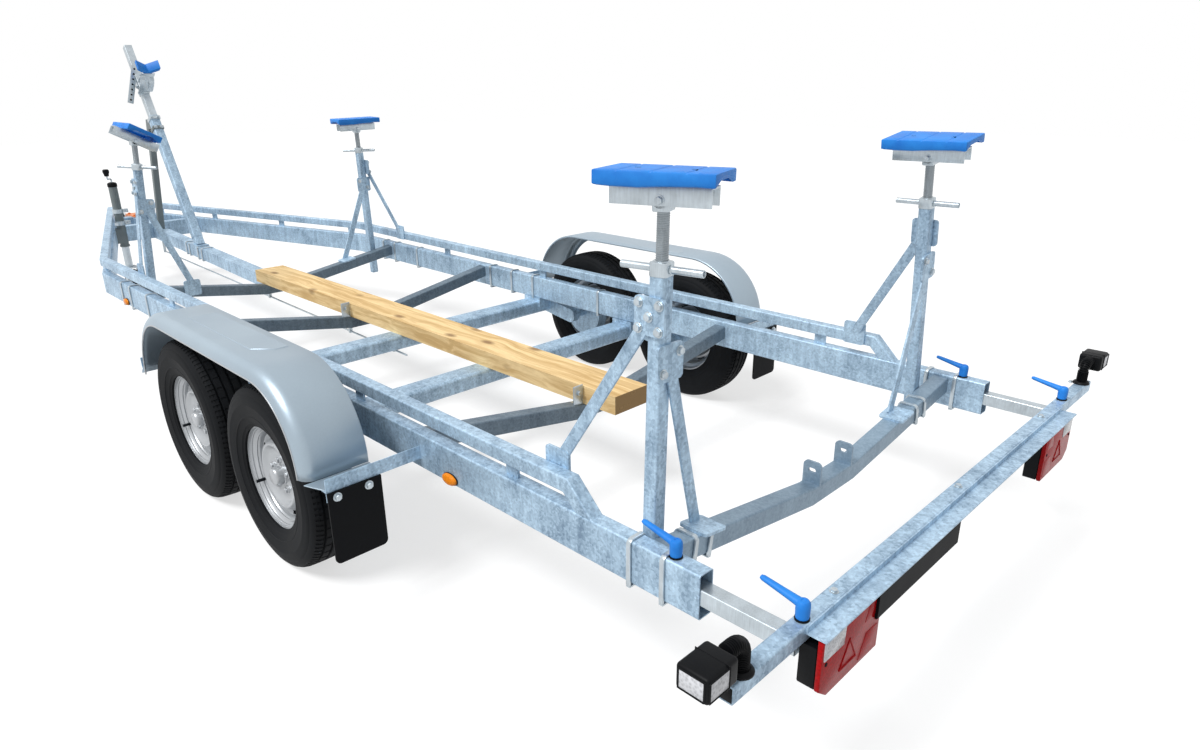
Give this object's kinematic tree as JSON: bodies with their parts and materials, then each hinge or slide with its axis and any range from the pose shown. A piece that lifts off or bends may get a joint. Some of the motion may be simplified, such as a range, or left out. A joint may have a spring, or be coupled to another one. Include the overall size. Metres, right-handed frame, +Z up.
{
  "type": "boat trailer",
  "caption": "Tandem axle boat trailer with a keel plank, screw supported pads, a bow stand, a jockey wheel and a light bar on sliding arms.",
  "frame": {"origin": "on the ground under the middle of the trailer's length and width", "axes": "+X forward to the coupling, +Y to the trailer's left side, +Z up"},
  "size_m": [7.393, 2.412, 1.8263],
  "materials": {
    "amber": "amber lens",
    "black": "black plastic",
    "blue": "moulded blue plastic",
    "dark": "dark paint",
    "fender": "galvanised sheet, satin",
    "galvanised": "hot dip galvanised, satin",
    "lamp": "red lens",
    "orange": "orange paint",
    "pine": "sawn pine",
    "rim": "silver paint",
    "rubber": "black rubber",
    "tyre": "black rubber",
    "zinc": "zinc plated, satin"
  },
  "bodies": {
    "chassis": {"rail_left": "galvanised", "rail_right": "galvanised", "drawbar": "galvanised", "upper_rails": "galvanised", "cross_front": "galvanised", "cross_middle": "galvanised", "cross_rear": "galvanised", "rear_beam": "galvanised", "spine_beam": "galvanised", "keel_plank": "pine", "axle_front": "galvanised", "axle_rear": "galvanised", "fender_left": "fender", "fender_right": "fender", "fender_brackets": "galvanised", "mud_flaps": "rubber", "posts_front": "galvanised", "posts_rear": "galvanised", "spindle_nuts": "zinc", "bow_sleeve": "galvanised", "bow_leg": "galvanised", "overrun_housing": "orange", "shaft_bellows": "rubber", "coupling_head": "zinc", "handbrake": "black", "jockey_tube": "dark", "rail_levers": "blue", "side_markers": "amber", "brake_rod": "zinc"},
    "wheel_front_left": {"tyre_front_left": "tyre", "rim_front_left": "rim"},
    "wheel_front_right": {"tyre_front_right": "tyre", "rim_front_right": "rim"},
    "wheel_rear_left": {"tyre_rear_left": "tyre", "rim_rear_left": "rim"},
    "wheel_rear_right": {"tyre_rear_right": "tyre", "rim_rear_right": "rim"},
    "spindle_front_left": {"spindle_front_left": "zinc"},
    "pad_front_left": {"pad_front_left": "blue"},
    "spindle_front_right": {"spindle_front_right": "zinc"},
    "pad_front_right": {"pad_front_right": "blue"},
    "spindle_rear_left": {"spindle_rear_left": "zinc"},
    "pad_rear_left": {"pad_rear_left": "blue"},
    "spindle_rear_right": {"spindle_rear_right": "zinc"},
    "pad_rear_right": {"pad_rear_right": "blue"},
    "bow_mast": {"bow_mast": "zinc", "bow_block": "blue"},
    "light_carrier": {"light_arms": "zinc", "light_bar": "galvanised", "light_board": "zinc", "rear_lamps": "lamp", "plate_holder": "black", "bar_levers": "blue"},
    "jockey_leg": {"jockey_leg": "zinc"},
    "jockey_fork": {"jockey_fork": "zinc"},
    "jockey_wheel": {"jockey_wheel": "black"}
  },
  "joints": [
    {"name": "wheel_front_left_roll", "type": "hinge", "parent": "chassis", "child": "wheel_front_left", "pos_m": [-1.1135, 1.0915, 0.325], "axis": [0, 1, 0], "continuous": true},
    {"name": "wheel_front_right_roll", "type": "hinge", "parent": "chassis", "child": "wheel_front_right", "pos_m": [-1.1135, -1.0915, 0.325], "axis": [0, 1, 0], "continuous": true},
    {"name": "wheel_rear_left_roll", "type": "hinge", "parent": "chassis", "child": "wheel_rear_left", "pos_m": [-1.8135, 1.0915, 0.325], "axis": [0, 1, 0], "continuous": true},
    {"name": "wheel_rear_right_roll", "type": "hinge", "parent": "chassis", "child": "wheel_rear_right", "pos_m": [-1.8135, -1.0915, 0.325], "axis": [0, 1, 0], "continuous": true},
    {"name": "spindle_front_left_lift", "type": "slide", "parent": "chassis", "child": "spindle_front_left", "axis": [0, -0.0698, 0.9976], "range_m": [-0.07, 0.15]},
    {"name": "pad_front_left_tilt", "type": "hinge", "parent": "spindle_front_left", "child": "pad_front_left", "pos_m": [0.6565, 0.65038, 1.2782], "axis": [-1, 0, 0], "range_deg": [-5, 50]},
    {"name": "spindle_front_right_lift", "type": "slide", "parent": "chassis", "child": "spindle_front_right", "axis": [0, 0.0244, 0.9997], "range_m": [-0.07, 0.15]},
    {"name": "pad_front_right_tilt", "type": "hinge", "parent": "spindle_front_right", "child": "pad_front_right", "pos_m": [0.6565, -0.67592, 1.27978], "axis": [-0.9848, 0.1736, -0.0042], "range_deg": [-25, 25]},
    {"name": "spindle_rear_left_lift", "type": "slide", "parent": "chassis", "child": "spindle_rear_left", "axis": [0, -0.0209, 0.9998], "range_m": [-0.07, 0.15]},
    {"name": "pad_rear_left_tilt", "type": "hinge", "parent": "spindle_rear_left", "child": "pad_rear_left", "pos_m": [-3.1725, 0.75337, 1.33383], "axis": [-0.3746, 0.927, 0.0194], "range_deg": [-25, 25]},
    {"name": "spindle_rear_right_lift", "type": "slide", "parent": "chassis", "child": "spindle_rear_right", "axis": [0, 0.1115, 0.9938], "range_m": [-0.07, 0.15]},
    {"name": "pad_rear_right_tilt", "type": "hinge", "parent": "spindle_rear_right", "child": "pad_rear_right", "pos_m": [-3.1725, -0.58349, 1.32905], "axis": [-0.0698, 0.9913, -0.1112], "range_deg": [-25, 25]},
    {"name": "bow_mast_slide", "type": "slide", "parent": "chassis", "child": "bow_mast", "axis": [0.4848, 0, 0.8746], "range_m": [-0.15, 0.25]},
    {"name": "light_carrier_slide", "type": "slide", "parent": "chassis", "child": "light_carrier", "axis": [-1, 0, 0], "range_m": [-0.1, 0.45]},
    {"name": "jockey_leg_slide", "type": "slide", "parent": "chassis", "child": "jockey_leg", "axis": [0, 0, 1], "range_m": [-0.2, 0.06]},
    {"name": "jockey_fork_swivel", "type": "hinge", "parent": "jockey_leg", "child": "jockey_fork", "pos_m": [2.6365, 0.281, 0.227], "axis": [0, 0, 1], "continuous": true},
    {"name": "jockey_wheel_roll", "type": "hinge", "parent": "jockey_fork", "child": "jockey_wheel", "pos_m": [2.6015, 0.281, 0.105], "axis": [0, 1, 0], "continuous": true}
  ]
}
